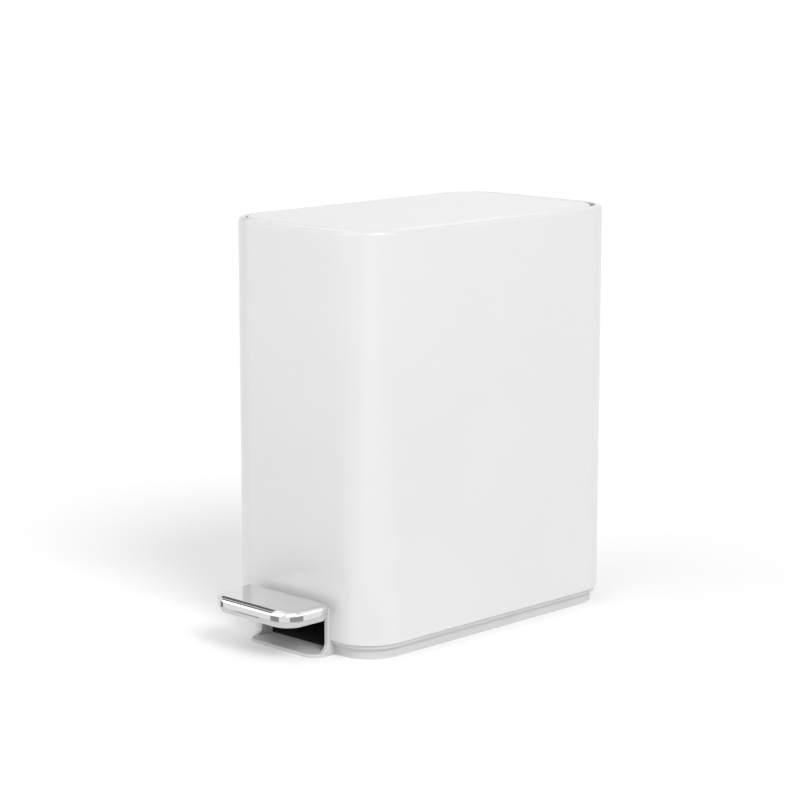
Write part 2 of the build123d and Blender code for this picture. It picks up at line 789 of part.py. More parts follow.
# Pedal lever: a cranked steel strap, forked round the rod's foot
strap_bend_y = front + strap_bend
strap_ramp_y = strap_bend_y + strap_ramp
with BuildPart() as pedal_lever:
    with BuildSketch(Plane.YZ):
        with BuildLine():
            Polyline(
                (strap_front, strap_top),
                (strap_bend_y, strap_top),
                (strap_ramp_y, strap_low_level),
                (lever_rear, strap_low_level),
                (lever_rear, strap_low_level - strap_thickness),
                (strap_ramp_y, strap_low_level - strap_thickness),
                (strap_bend_y, strap_bottom),
                (strap_front, strap_bottom),
                close=True,
            )
        make_face()
    extrude(amount=strap_width / 2, both=True)
    with BuildSketch(Plane.XY.offset(strap_low_level - strap_thickness)):
        side_box(strap_width / 2 - lever_ear, lever_rear - fork_length, lever_rear)
    extrude(amount=strap_thickness, mode=Mode.SUBTRACT)
    for ear_x in (-ear_centre, ear_centre):
        with BuildSketch(Plane.YZ.offset(ear_x - lever_ear / 2)):
            for eye_y, eye_z, eye_radius, hole in (
                (axle_y, axle_level, lever_eye_radius, bush_outer),
                (rod_y, lever_pin_level, fork_eye_radius, lever_pin_radius),
            ):
                with Locations((eye_y, (eye_z + strap_low_level) / 2)):
                    Rectangle(2 * eye_radius, strap_low_level - eye_z)
                with Locations((eye_y, eye_z)):
                    Circle(eye_radius)
                    Circle(hole + pin_fit, mode=Mode.SUBTRACT)
        extrude(amount=lever_ear)
    with Locations((0, pedal_front + pedal_screw_setback, strap_bottom)):
        with GridLocations(pedal_screw_spread, 1, 2, 1):
            peg(screw_radius + slot_fit, strap_thickness, mode=Mode.SUBTRACT)
save(pedal_lever, "pedal_lever")

# Bushes: a spigot in each ear, with a shoulder out to the chassis wall
with BuildPart() as lever_bushes:
    with BuildSketch(Plane.YZ.offset(strap_width / 2 - lever_ear)):
        with Locations((axle_y, axle_level)):
            Circle(bush_outer)
    extrude(amount=lever_ear)
    with BuildSketch(Plane.YZ.offset(strap_width / 2)):
        with Locations((axle_y, axle_level)):
            Circle(bush_shoulder_radius)
    extrude(amount=opening_half - strap_width / 2 - seat_gap)
    with BuildSketch(Plane.YZ.offset(strap_width / 2 - lever_ear)):
        with Locations((axle_y, axle_level)):
            Circle(axle_radius + pin_fit)
    extrude(amount=opening_half, mode=Mode.SUBTRACT)
    mirror(about=Plane.YZ)
save(lever_bushes, "lever_bushes")

with BuildPart() as lever_pin:
    with BuildSketch(Plane.YZ):
        with Locations((rod_y, lever_pin_level)):
            Circle(lever_pin_radius)
    extrude(amount=strap_width / 2 + ear_gap, both=True)
save(lever_pin, "lever_pin")

# Pedal cap
with BuildPart() as cap_hollow:
    with BuildSketch(Plane.XY.offset(cap_bottom)):
        plan_outline(
            pedal_half - cap_wall,
            pedal_front + cap_wall,
            pedal_rear - cap_wall,
            pedal_corner - cap_wall,
            pedal_rear_corner - cap_wall,
        )
    extrude(amount=cap_height - cap_wall)

with BuildPart() as pedal_cap:
    with BuildSketch(Plane.XY.offset(cap_bottom)):
        plan_outline(pedal_half, pedal_front, pedal_rear, pedal_corner, pedal_rear_corner)
    extrude(amount=cap_height)
    fillet(top_edges(pedal_cap), cap_round)
    add(cap_hollow.part, mode=Mode.SUBTRACT)
save(pedal_cap, "pedal_cap")

# Pedal base: a tapered under-body with a plug that fills the cap
plug_inset = cap_wall + cap_fit
with BuildPart() as pedal_base:
    with BuildSketch(Plane.XY.offset(under_bottom)):
        plan_outline(
            pedal_half - under_taper - under_step,
            pedal_front + under_taper + under_step,
            pedal_rear - under_rear_taper,
            pedal_corner - under_taper - under_step,
            pedal_rear_corner - under_step,
        )
    with BuildSketch(Plane.XY.offset(cap_bottom)):
        plan_outline(
            pedal_half - under_step,
            pedal_front + under_step,
            pedal_rear - under_step,
            pedal_corner - under_step,
            pedal_rear_corner - under_step,
        )
    loft()
    with BuildSketch(Plane.XY.offset(cap_bottom)):
        plan_outline(
            pedal_half - plug_inset,
            pedal_front + plug_inset,
            pedal_rear - plug_inset,
            pedal_corner - plug_inset,
            pedal_rear_corner - plug_inset,
        )
    extrude(amount=cap_height - cap_wall)
    # Slot that the strap slides into from behind
    with BuildSketch(Plane.XY.offset(strap_bottom)):
        side_box(strap_width / 2 + slot_fit, strap_front, pedal_rear)
    extrude(amount=strap_thickness, mode=Mode.SUBTRACT)
    with Locations((0, pedal_front + pedal_screw_setback, under_bottom)):
        with GridLocations(pedal_screw_spread, 1, 2, 1):
            peg(screw_head_radius + slot_fit, pedal_screw_head, mode=Mode.SUBTRACT)
            peg(screw_radius + pin_fit, pedal_screw_length, mode=Mode.SUBTRACT)
    with Locations((0, pedal_front + pedal_bumper_setback, under_bottom)):
        peg(pedal_bumper_stem + pin_fit, pedal_bumper_stem_height, mode=Mode.SUBTRACT)
save(pedal_base, "pedal_base")

with BuildPart() as pedal_screws:
    with Locations((0, pedal_front + pedal_screw_setback, under_bottom)):
        with GridLocations(pedal_screw_spread, 1, 2, 1):
            peg(screw_head_radius, pedal_screw_head)
            peg(screw_radius, pedal_screw_length)
save(pedal_screws, "pedal_screws")

with BuildPart() as pedal_bumper:
    with Locations((0, pedal_front + pedal_bumper_setback, under_bottom)):
        hanging_peg(pedal_bumper_radius, pedal_bumper_height)
        peg(pedal_bumper_stem, pedal_bumper_stem_height)
    fillet(pedal_bumper.faces().sort_by(Axis.Z)[0].edges(), pedal_bumper_round)
save(pedal_bumper, "pedal_bumper")

# Inner bucket
wall_half = bucket_half - bucket_lip
wall_front = bucket_front + bucket_lip
wall_rear = bucket_rear - bucket_lip
wall_corner = bucket_corner - bucket_lip


def bucket_section(inset, rear_corner):
    return plan_outline(
        wall_half - inset, wall_front + inset, wall_rear - inset, wall_corner - inset / 2, rear_corner
    )


with BuildPart() as bucket_hollow:
    with BuildSketch(Plane.XY.offset(bucket_floor_level + bucket_wall)):
        bucket_section(bucket_draft + bucket_wall, bucket_rear_corner)
    with BuildSketch(Plane.XY.offset(bucket_top)):
        bucket_section(bucket_wall, bucket_rear_corner)
    loft()

with BuildPart() as inner_bucket:
    with BuildSketch(Plane.XY.offset(bucket_floor_level)):
        bucket_section(bucket_draft, bucket_rear_corner)
    with BuildSketch(Plane.XY.offset(bucket_ledge_top)):
        bucket_section(0, bucket_rear_corner)
    loft()
    with BuildSketch(Plane.XY.offset(bucket_ledge_top)):
        plan_outline(bucket_half, bucket_front, bucket_rear, bucket_corner, bucket_rear_corner)
    extrude(amount=bucket_flange)
    # Ears that the bail hooks into
    with BuildSketch(Plane.XY.offset(bucket_top)):
        with Locations((bail_ear_outer - bail_ear / 2, bail_pivot_y)):
            Rectangle(bail_ear, bail_ear_length)
    extrude(amount=2 * (bail_z - bucket_top))
    mirror(about=Plane.YZ)
    add(bucket_hollow.part, mode=Mode.SUBTRACT)
    with Locations(Plane(origin=(0, bail_pivot_y, bail_z), z_dir=(1, 0, 0))):
        Cylinder(bail_wire_radius + pin_fit, body_width, mode=Mode.SUBTRACT)
save(inner_bucket, "inner_bucket")

# Bail: one bent wire, hooked into the ears from outside
hook_end = bail_ear_outer - bail_ear - ear_gap
with BuildPart() as bail:
    with BuildLine(Plane.XY.offset(bail_z)) as bail_path:
        FilletPolyline(
            (hook_end, bail_pivot_y),
            (bail_x, bail_pivot_y),
            (bail_x, bail_y),
            (-bail_x, bail_y),
            (-bail_x, bail_pivot_y),
            (-hook_end, bail_pivot_y),
            radius=[bail_hook_bend, bail_bend, bail_bend, bail_hook_bend],
        )
    with BuildSketch(Plane(origin=bail_path.line @ 0, z_dir=bail_path.line % 0)):
        Circle(bail_wire_radius)
    sweep()
save(bail, "bail")

with BuildPart() as bail_grip:
    with BuildSketch(Plane.YZ):
        with Locations((bail_y, bail_z)):
            Circle(grip_radius)
            Circle(bail_wire_radius + pin_fit, mode=Mode.SUBTRACT)
    extrude(amount=grip_length / 2, both=True)
save(bail_grip, "bail_grip")

print(f"hinge y {hinge_y:.3f} z {hinge_z:.3f}")
print(f"rod rise {rod_rise:.4f} mm, pedal angle {pedal_angle:.4f} deg")
print(f"rod per radian of lid {rod_rise / math.radians(lid_open) / 1000:.6f} m")
print(f"pedal per lid {pedal_angle / lid_open:.6f}")
print(f"axle y {axle_y:.3f} z {axle_level:.3f}, bail z {bail_z:.3f}")
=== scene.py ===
import json
import math

import bmesh
import bpy
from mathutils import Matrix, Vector


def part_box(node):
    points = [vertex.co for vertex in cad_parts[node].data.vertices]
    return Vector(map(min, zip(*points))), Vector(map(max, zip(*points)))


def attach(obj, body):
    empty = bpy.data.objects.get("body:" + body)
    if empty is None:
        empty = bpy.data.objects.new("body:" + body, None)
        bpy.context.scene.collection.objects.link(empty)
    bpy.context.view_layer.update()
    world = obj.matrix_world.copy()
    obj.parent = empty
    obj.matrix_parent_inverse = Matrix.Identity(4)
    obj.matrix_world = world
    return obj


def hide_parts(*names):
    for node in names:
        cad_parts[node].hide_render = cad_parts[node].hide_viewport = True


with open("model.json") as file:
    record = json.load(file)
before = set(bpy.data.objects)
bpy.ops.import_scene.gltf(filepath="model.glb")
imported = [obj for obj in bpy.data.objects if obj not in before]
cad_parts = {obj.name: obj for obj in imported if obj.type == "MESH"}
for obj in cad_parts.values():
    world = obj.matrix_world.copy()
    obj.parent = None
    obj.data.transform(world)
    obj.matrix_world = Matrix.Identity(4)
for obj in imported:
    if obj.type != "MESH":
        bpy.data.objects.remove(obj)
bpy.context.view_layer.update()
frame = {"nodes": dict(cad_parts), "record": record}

bl_info = {
    "name": "Slim Pedal Bin",
    "version": (1, 0, 0),
    "blender": (4, 5, 0),
    "location": "View3D > Sidebar > Pedal Bin",
    "description": "Builds the finish, detail pieces and studio of a slim pedal bin around its CAD frame",
    "category": "Object",
}

MM = 0.001
SMOOTH_ANGLE = 30
PIECE_SHARP = 35
NODES = frame["nodes"]
SHELL_LOW, SHELL_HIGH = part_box("body_shell")
LID_LOW, LID_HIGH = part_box("lid_skin")
CAP_LOW, CAP_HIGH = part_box("pedal_cap")


# Sizes and colours that a user would change


def length(name, description, default):
    """A length that a user may change."""
    return bpy.props.FloatProperty(
        name=name, description=description, default=default, subtype="DISTANCE", unit="LENGTH"
    )


def tint(name, description, default):
    """A colour that a user may change."""
    return bpy.props.FloatVectorProperty(
        name=name, description=description, default=default, subtype="COLOR", size=3
    )


class BinSizes(bpy.types.PropertyGroup):
    """Sizes of the visible shells, in metres"""

    corner: length("Body corner", "Plan radius of the body's vertical corners", 30 * MM)
    steel: length("Steel", "Thickness of the body's sheet", 1.0 * MM)
    rim: length("Rim width", "Width of the rolled rim seen from above", 5.0 * MM)
    rim_round: length("Rim rounding", "Radius of the rim's outer edge", 3.2 * MM)
    lip: length("Lip depth", "How far the rim's inner lip turns down", 5.0 * MM)
    cutout_half: length("Cut-out half width", "Half the width of the pedal cut-out", 35.55 * MM)
    cutout_top: length("Cut-out top", "Height of the pedal cut-out's top edge", 34.75 * MM)
    lid_corner: length("Lid front corner", "Plan radius of the lid's front corners", 23.5 * MM)
    lid_rear_corner: length("Lid rear corner", "Plan radius of the lid's rear corners", 27 * MM)
    lid_round: length("Lid rounding", "Radius of the lid's upper edge", 1.5 * MM)
    lid_steel: length("Lid steel", "Thickness of the lid's sheet", 0.8 * MM)
    lid_notch_half: length("Lid notch", "Half the width of the notch for the hinge", 34 * MM)
    lid_notch_top: length("Lid notch height", "Height of that notch above the lid's lower edge", 4 * MM)
    pedal_corner: length("Pedal front corner", "Plan radius of the pedal's front corners", 17 * MM)
    pedal_rear_corner: length("Pedal rear corner", "Plan radius of the pedal's rear corners", 4.2 * MM)
    pedal_round: length("Pedal rounding", "Radius of the pedal's upper edge", 4.0 * MM)
    pedal_wall: length("Pedal wall", "Wall of the plated cap", 1.5 * MM)
    under_taper: length("Under-body taper", "How far the pedal's under-body draws in", 2.0 * MM)
    keel_round: length("Keel rounding", "Radius of the under-body's lower edge", 2.0 * MM)
    seam_slit: length("Seam slit", "Half the length of the slit under the plate", 12 * MM)
    strap: length("Strap", "Thickness of the pedal's steel strap", 3.0 * MM)
    screw_shank: length("Screw shank", "Radius of the screws' shanks", 1.5 * MM)
    screw_head: length("Screw head", "Height of the pan heads", 1.6 * MM)
    pedal_screw_head: length("Pedal screw head", "Height of the pedal screws' heads", 1.0 * MM)
    rivet_shank: length("Rivet shank", "Radius of the rivets' shanks", 2.0 * MM)
    rivet_head: length("Rivet head", "Height of the rivets' domes", 1.0 * MM)


class BinFinish(bpy.types.PropertyGroup):
    """Colours of the bin's finishes"""

    coat: tint("Coat", "White coat of the steel", (0.80, 0.80, 0.80))
    trim: tint("Trim", "Light grey plastic of the base, the pedal and the lid's liner", (0.69, 0.69, 0.69))
    # Black plastic of the collar, cover, guide and grip. On the chassis behind the pedal's opening this black
    # is also painted shade: it makes the inside seen through the opening dark.
    black_and_shade: tint("Black", "Black plastic of the chassis, collar, cover, guide and grip", (0.045, 0.045, 0.045))
    bucket: tint("Bucket", "Dark grey plastic of the inner bucket", (0.045, 0.045, 0.048))
    plate: tint("Plate", "Bright plating of the pedal", (0.68, 0.68, 0.69))
    zinc: tint("Zinc", "Zinc plating of the hinge, linkage, fasteners and bail", (0.50, 0.50, 0.52))
    nylon: tint("Nylon", "Natural nylon of bushes and rod ends", (0.74, 0.74, 0.71))
    buffer: tint("Buffer", "White rubber under the pedal", (0.78, 0.78, 0.77))
    rubber: tint("Rubber", "Black rubber of the pads and feet", (0.018, 0.018, 0.018))
    floor: tint("Floor", "Studio floor", (0.96, 0.96, 0.96))


# Materials


def new_material(name):
    """A node material and its shader."""
    material = bpy.data.materials.new(name)
    material.use_nodes = True
    return material, material.node_tree, material.node_tree.nodes["Principled BSDF"]


def noise(tree, scale, detail=2.0, stretch=(1, 1, 1)):
    """Noise in the object's own metres."""
    place = tree.nodes.new("ShaderNodeTexCoord")
    mapping = tree.nodes.new("ShaderNodeMapping")
    mapping.inputs["Scale"].default_value = stretch
    texture = tree.nodes.new("ShaderNodeTexNoise")
    texture.inputs["Scale"].default_value = scale
    texture.inputs["Detail"].default_value = detail
    tree.links.new(place.outputs["Object"], mapping.inputs["Vector"])
    tree.links.new(mapping.outputs["Vector"], texture.inputs["Vector"])
    return texture.outputs["Fac"]


def vary_colour(tree, shader, colour, spread, fac):
    """A colour that drifts a little over the surface."""
    ramp = tree.nodes.new("ShaderNodeValToRGB")
    low = [c * (1 - spread) for c in colour]
    high = [min(1.0, c * (1 + spread)) for c in colour]
    ramp.color_ramp.elements[0].position = 0.3
    ramp.color_ramp.elements[0].color = (*low, 1)
    ramp.color_ramp.elements[1].position = 0.7
    ramp.color_ramp.elements[1].color = (*high, 1)
    tree.links.new(fac, ramp.inputs["Fac"])
    tree.links.new(ramp.outputs["Color"], shader.inputs["Base Color"])


def vary_roughness(tree, shader, low, high, fac):
    """A roughness that drifts between two values."""
    spread = tree.nodes.new("ShaderNodeMapRange")
    spread.inputs["To Min"].default_value = low
    spread.inputs["To Max"].default_value = high
    tree.links.new(fac, spread.inputs["Value"])
    tree.links.new(spread.outputs["Result"], shader.inputs["Roughness"])


def add_bump(tree, shader, height, strength, fac):
    """Relief of the given height in metres."""
    bump = tree.nodes.new("ShaderNodeBump")
    bump.inputs["Strength"].default_value = strength
    bump.inputs["Distance"].default_value = height
    tree.links.new(fac, bump.inputs["Height"])
    tree.links.new(bump.outputs["Normal"], shader.inputs["Normal"])


def coated_steel(colour):
    """White powder coat: slight orange peel under a satin gloss."""
    material, tree, shader = new_material("coated_steel")
    vary_colour(tree, shader, colour, 0.012, noise(tree, 9))
    vary_roughness(tree, shader, 0.30, 0.38, noise(tree, 60))
    add_bump(tree, shader, 0.00004, 0.25, noise(tree, 900, 3))
    shader.inputs["Coat Weight"].default_value = 0.6
    shader.inputs["Coat Roughness"].default_value = 0.16
    return material


def moulded_plastic(name, colour, grain, roughness, spread=0.03):
    """Injection-moulded plastic with a fine spark-eroded grain."""
    material, tree, shader = new_material(name)
    vary_colour(tree, shader, colour, spread, noise(tree, 30))
    vary_roughness(tree, shader, roughness - 0.05, roughness + 0.05, noise(tree, 250))
    add_bump(tree, shader, grain, 0.4, noise(tree, 2200, 4))
    return material


def bright_plating(colour):
    """Polished plating with a faint haze of wear."""
    material, tree, shader = new_material("bright_plating")
    vary_colour(tree, shader, colour, 0.015, noise(tree, 40))
    vary_roughness(tree, shader, 0.03, 0.08, noise(tree, 120, 5))
    shader.inputs["Metallic"].default_value = 1.0
    return material


def plated_steel(colour):
    """Zinc-plated steel with fine drawing marks along X."""
    material, tree, shader = new_material("plated_steel")
    vary_colour(tree, shader, colour, 0.08, noise(tree, 70, 4))
    marks = noise(tree, 900, 3, stretch=(0.05, 1, 1))
    vary_roughness(tree, shader, 0.28, 0.45, marks)
    add_bump(tree, shader, 0.00002, 0.3, marks)
    shader.inputs["Metallic"].default_value = 1.0
    return material


def soft_rubber(name, colour):
    """Matt rubber with a fine moulded skin."""
    material, tree, shader = new_material(name)
    vary_colour(tree, shader, colour, 0.06, noise(tree, 150))
    vary_roughness(tree, shader, 0.6, 0.75, noise(tree, 400))
    add_bump(tree, shader, 0.00003, 0.5, noise(tree, 1800, 3))
    return material


def finishes(colours):
    """One material for each of the record's slots."""
    return {
        "white_steel": coated_steel(colours.coat),
        "grey_plastic": moulded_plastic("trim_plastic", colours.trim, 0.00002, 0.42),
        # Black plastic. On the chassis behind the pedal's opening it is also painted shade.
        "black_plastic": moulded_plastic("black_plastic", colours.black_and_shade, 0.00003, 0.5),
        "bucket_plastic": moulded_plastic("bucket_plastic", colours.bucket, 0.00004, 0.55),
        "bright_plate": bright_plating(colours.plate),
        "zinc_steel": plated_steel(colours.zinc),
        "white_nylon": moulded_plastic("white_nylon", colours.nylon, 0.00001, 0.4),
        "white_rubber": soft_rubber("white_rubber", colours.buffer),
        "black_rubber": soft_rubber("black_rubber", colours.rubber),
    }


MATERIALS = {}


def slot_material(slot):
    """The material of a record slot, made the first time any piece asks for one."""
    if not MATERIALS:
        MATERIALS.update(finishes(bpy.context.scene.bin_finish))
    return MATERIALS[slot]


# Mesh tools


def outline(half, front, rear, front_radius, rear_radius, inset=0.0, steps=24, on_front=(), on_rear=()):
    """Points round a plan rectangle, counter-clockwise from the front right, each corner an arc of steps."""
    points = []
    least = inset + 0.02 * MM
    front_radius, rear_radius = max(front_radius, least), max(rear_radius, least)
    corners = (
        (1, front + front_radius, front_radius, -90),
        (1, rear - rear_radius, rear_radius, 0),
        (-1, rear - rear_radius, rear_radius, 90),
        (-1, front + front_radius, front_radius, 180),
    )
    for side, y, radius, start in corners:
        x = side * (half - radius)
        for step in range(steps + 1):
            angle = math.radians(start + 90 * step / steps)
            reach = radius - inset
            points.append((x + reach * math.cos(angle), y + reach * math.sin(angle)))
        if start == 0:
            points += [(stop, rear - inset) for stop in sorted(on_rear, reverse=True)]
    points += [(stop, front + inset) for stop in sorted(on_front)]
    return points


def arc_down(centre, radius, start, end, steps):
    """(inset, height) points on an arc, angles in degrees: 180 is the outer side and 90 the top."""
    angles = [math.radians(start + (end - start) * step / steps) for step in range(steps + 1)]
    return [(centre[0] + radius * math.cos(a), centre[1] + radius * math.sin(a)) for a in angles]


def mesh_object(name, vertices, faces, body, slot, sharp=PIECE_SHARP):
    """A mesh piece that rides on a body, with its finish and smooth shading."""
    mesh = bpy.data.meshes.new(name)
    mesh.from_pydata(vertices, [], faces)
    work = bmesh.new()
    work.from_mesh(mesh)
    bmesh.ops.remove_doubles(work, verts=work.verts, dist=1e-7)
    bmesh.ops.recalc_face_normals(work, faces=work.faces)
    work.to_mesh(mesh)
    work.free()
    for polygon in mesh.polygons:
        polygon.use_smooth = True
    mesh.set_sharp_from_angle(angle=math.radians(sharp))
    piece = bpy.data.objects.new(name, mesh)
    bpy.context.scene.collection.objects.link(piece)
    mesh.materials.append(slot_material(slot))
    weigh_normals(piece)
    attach(piece, body)
    return piece


def weigh_normals(piece):
    """Keeps the large faces flat in the light, and the rounding in the small ones."""
    weigh = piece.modifiers.new("weigh", "WEIGHTED_NORMAL")
    weigh.keep_sharp = True


def skin(rings, closed=False, skip=()):
    """Quads between rings of equally many points. A closed skin joins its last ring to its first."""
    count = len(rings[0])
    vertices = [point for ring in rings for point in ring]
    faces = []
    spans = len(rings) if closed else len(rings) - 1
    for row in range(spans):
        above = (row + 1) % len(rings)
        for column in range(count):
            beside = (column + 1) % count
            if (row, column) in skip:
                continue
            low, high = row * count, above * count
            faces.append((low + column, low + beside, high + beside, high + column))
    return vertices, faces


# Stage


CAMERA_PLACE = (1.2646, -1.2940, 0.4962)
CAMERA_AZIMUTH = 44.8786
CAMERA_ELEVATION = 10.6083
CAMERA_LENS = 114.93
KEY_DIRECTION = (0.72, -0.20, 0.66)
KEY_STRENGTH = 1.25
KEY_SPREAD = 27
FILL_DIRECTION = (-0.15, -0.75, 0.65)
FILL_STRENGTH = 0.55
FILL_SPREAD = 60
WORLD_LEVEL = 0.52
FLOOR_LIFT = 0.17
FLOOR_REACH = 12.0

# Cards that only the gloss shows, in metres. Each has a name, two plan points, its height and its glow.
TALL = (0.0, 1.2)
RAISED = (0.23, 0.60)
LOW = (0.0, 0.03)
UPRIGHT_CARDS = (
    ("strip_left", (-0.580, -0.690), (-0.390, -0.830), TALL, 1.9),
    ("strip_middle", (0.44, -0.77), (0.78, -0.45), TALL, 1.7),
    ("strip_right", (0.703, 0.393), (0.635, 0.532), TALL, 1.5),
    ("glow_left", (0.437, -1.576), (-1.22, -1.09), RAISED, 3.6),
    ("glow_right", (1.52, -0.49), (1.03, 1.12), RAISED, 2.6),
    ("card_left_front", (-0.092, -0.198), (-0.078, -0.218), LOW, 0.25),
    ("card_right_front", (-0.025, -0.2215), (0.033, -0.242), LOW, 0.36),
    ("card_right_side", (0.094, -0.208), (0.102, -0.122), LOW, 0.40),
)
LEVEL_CARDS = (
    ("glow_over_left", (-0.62, -0.06), (-0.20, 0.16), 0.8, 2.8),
    ("glow_over_right", (-0.32, 0.36), (-0.02, 0.66), 0.8, 2.6),
    ("card_above", (-0.98, -0.31), (-0.46, 0.42), 0.6, 0.16),
    ("card_ahead", (-1.00, -0.90), (-0.50, -0.48), 0.6, 0.12),
)


def add_sun(name, direction, spread, strength):
    """A broad, even light from a direction, spread over an angle in degrees."""
    data = bpy.data.lights.new(name, "SUN")
    data.energy = strength
    data.angle = math.radians(spread)
    lamp = bpy.data.objects.new(name, data)
    lamp.rotation_euler = Vector(direction).to_track_quat("Z", "Y").to_euler()
    bpy.context.scene.collection.objects.link(lamp)


def add_card(name, corners, glow):
    """A studio card that only the gloss shows, dark below a glow of 1 and bright above."""
    mesh = bpy.data.meshes.new(name)
    mesh.from_pydata(corners, [], [(0, 1, 2, 3)])
    card = bpy.data.objects.new(name, mesh)
    bpy.context.scene.collection.objects.link(card)
    material, tree, shader = new_material(name)
    shader.inputs["Base Color"].default_value = (0, 0, 0, 1)
    shader.inputs["Specular IOR Level"].default_value = 0.0
    shader.inputs["Emission Color"].default_value = (1, 1, 1, 1)
    path = tree.nodes.new("ShaderNodeLightPath")
    first = tree.nodes.new("ShaderNodeMath")
    first.operation = "LESS_THAN"
    first.inputs[1].default_value = 0.5
    level = tree.nodes.new("ShaderNodeMath")
    level.operation = "MULTIPLY"
    level.inputs[1].default_value = glow
    tree.links.new(path.outputs["Diffuse Depth"], first.inputs[0])
    tree.links.new(first.outputs["Value"], level.inputs[0])
    tree.links.new(level.outputs["Value"], shader.inputs["Emission Strength"])
    mesh.materials.append(material)
    card.visible_camera = False
    card.visible_diffuse = False
    card.visible_transmission = False
    card.visible_volume_scatter = False
    card.visible_shadow = False


def level_card(name, near, far, height, glow):
    """A level card between two opposite plan corners at a height."""
    (x0, y0), (x1, y1) = near, far
    add_card(name, [(x0, y0, height), (x1, y0, height), (x1, y1, height), (x0, y1, height)], glow)


def upright_card(name, start, end, heights, glow):
    """An upright card between two plan points and two heights."""
    (x0, y0), (x1, y1) = start, end
    foot, head = heights
    add_card(name, [(x0, y0, foot), (x1, y1, foot), (x1, y1, head), (x0, y0, head)], glow)


def seen_directly(tree):
    """1 for rays from the camera, a mirror or glass, and 0 for rays that light the object."""
    path = tree.nodes.new("ShaderNodeLightPath")
    total = path.outputs["Is Camera Ray"]
    for ray in ("Is Glossy Ray", "Is Transmission Ray"):
        either = tree.nodes.new("ShaderNodeMath")
        either.operation = "MAXIMUM"
        tree.links.new(total, either.inputs[0])
        tree.links.new(path.outputs[ray], either.inputs[1])
        total = either.outputs["Value"]
    return total


class BIN_OT_stage(bpy.types.Operator):
    """Sets the floor, the lamps, the reflected cards, the world and the camera"""

    bl_idname = "bin.stage"
    bl_label = "Set Stage"

    def execute(self, context):
        scene = context.scene
        self.lay_floor(scene)
        self.light_world(scene)
        add_sun("key_sun", KEY_DIRECTION, KEY_SPREAD, KEY_STRENGTH)
        add_sun("fill_sun", FILL_DIRECTION, FILL_SPREAD, FILL_STRENGTH)
        for card in UPRIGHT_CARDS:
            upright_card(*card)
        for card in LEVEL_CARDS:
            level_card(*card)
        self.place_camera(scene)
        scene.view_settings.view_transform = "Standard"
        return {"FINISHED"}

    def lay_floor(self, scene):
        """A plain floor that looks white where no shadow falls."""
        mesh = bpy.data.meshes.new("studio_floor")
        corners = [(x * FLOOR_REACH, y * FLOOR_REACH, 0) for x, y in ((-1, -1), (1, -1), (1, 1), (-1, 1))]
        mesh.from_pydata(corners, [], [(0, 1, 2, 3)])
        floor = bpy.data.objects.new("studio_floor", mesh)
        scene.collection.objects.link(floor)
        material, tree, shader = new_material("studio_floor")
        shader.inputs["Roughness"].default_value = 0.9
        shader.inputs["Specular IOR Level"].default_value = 0.0
        vary_colour(tree, shader, scene.bin_finish.floor, 0.002, noise(tree, 3))
        shader.inputs["Emission Color"].default_value = (1, 1, 1, 1)
        lift = tree.nodes.new("ShaderNodeMath")
        lift.operation = "MULTIPLY"
        lift.inputs[1].default_value = FLOOR_LIFT
        tree.links.new(seen_directly(tree), lift.inputs[0])
        tree.links.new(lift.outputs["Value"], shader.inputs["Emission Strength"])
        mesh.materials.append(material)

    def light_world(self, scene):
        """A white background that lights the object at a lower level."""
        world = bpy.data.worlds.new("studio_world")
        scene.world = world
        world.use_nodes = True
        tree = world.node_tree
        background = tree.nodes["Background"]
        background.inputs["Color"].default_value = (1, 1, 1, 1)
        level = tree.nodes.new("ShaderNodeMapRange")
        level.inputs["To Min"].default_value = WORLD_LEVEL
        level.inputs["To Max"].default_value = 1.0
        tree.links.new(seen_directly(tree), level.inputs["Value"])
        tree.links.new(level.outputs["Result"], background.inputs["Strength"])

    def place_camera(self, scene):
        """The photo's viewpoint."""
        data = bpy.data.cameras.new("camera")
        data.lens = CAMERA_LENS
        data.sensor_width = 36.0
        camera = bpy.data.objects.new("camera", data)
        camera.location = CAMERA_PLACE
        azimuth, elevation = math.radians(CAMERA_AZIMUTH), math.radians(CAMERA_ELEVATION)
        look = Vector((
            -math.sin(azimuth) * math.cos(elevation),
            math.cos(azimuth) * math.cos(elevation),
            -math.sin(elevation),
        ))
        camera.rotation_euler = look.to_track_quat("-Z", "Y").to_euler()
        scene.collection.objects.link(camera)
        scene.camera = camera


# CAD pieces whose edges are softly rounded, and how far, in metres
ROUNDED = {
    "base_ring": 0.35 * MM,
    "chassis": 0.30 * MM,
    "top_ring": 0.30 * MM,
    "lid_liner": 0.30 * MM,
    "lid_bumpers": 0.40 * MM,
    "lid_arm": 0.25 * MM,
    "hinge_bracket": 0.25 * MM,
    "hinge_pin": 0.35 * MM,
    "crank_pin": 0.35 * MM,
    "lever_pin": 0.35 * MM,
    "pedal_axle": 0.45 * MM,
    "axle_clips": 0.12 * MM,
    "back_cover": 0.30 * MM,
    "rod_guide": 0.35 * MM,
    "rod_head": 0.30 * MM,
    "rod_foot": 0.30 * MM,
    "pedal_lever": 0.35 * MM,
    "lever_bushes": 0.20 * MM,
    "inner_bucket": 0.45 * MM,
}


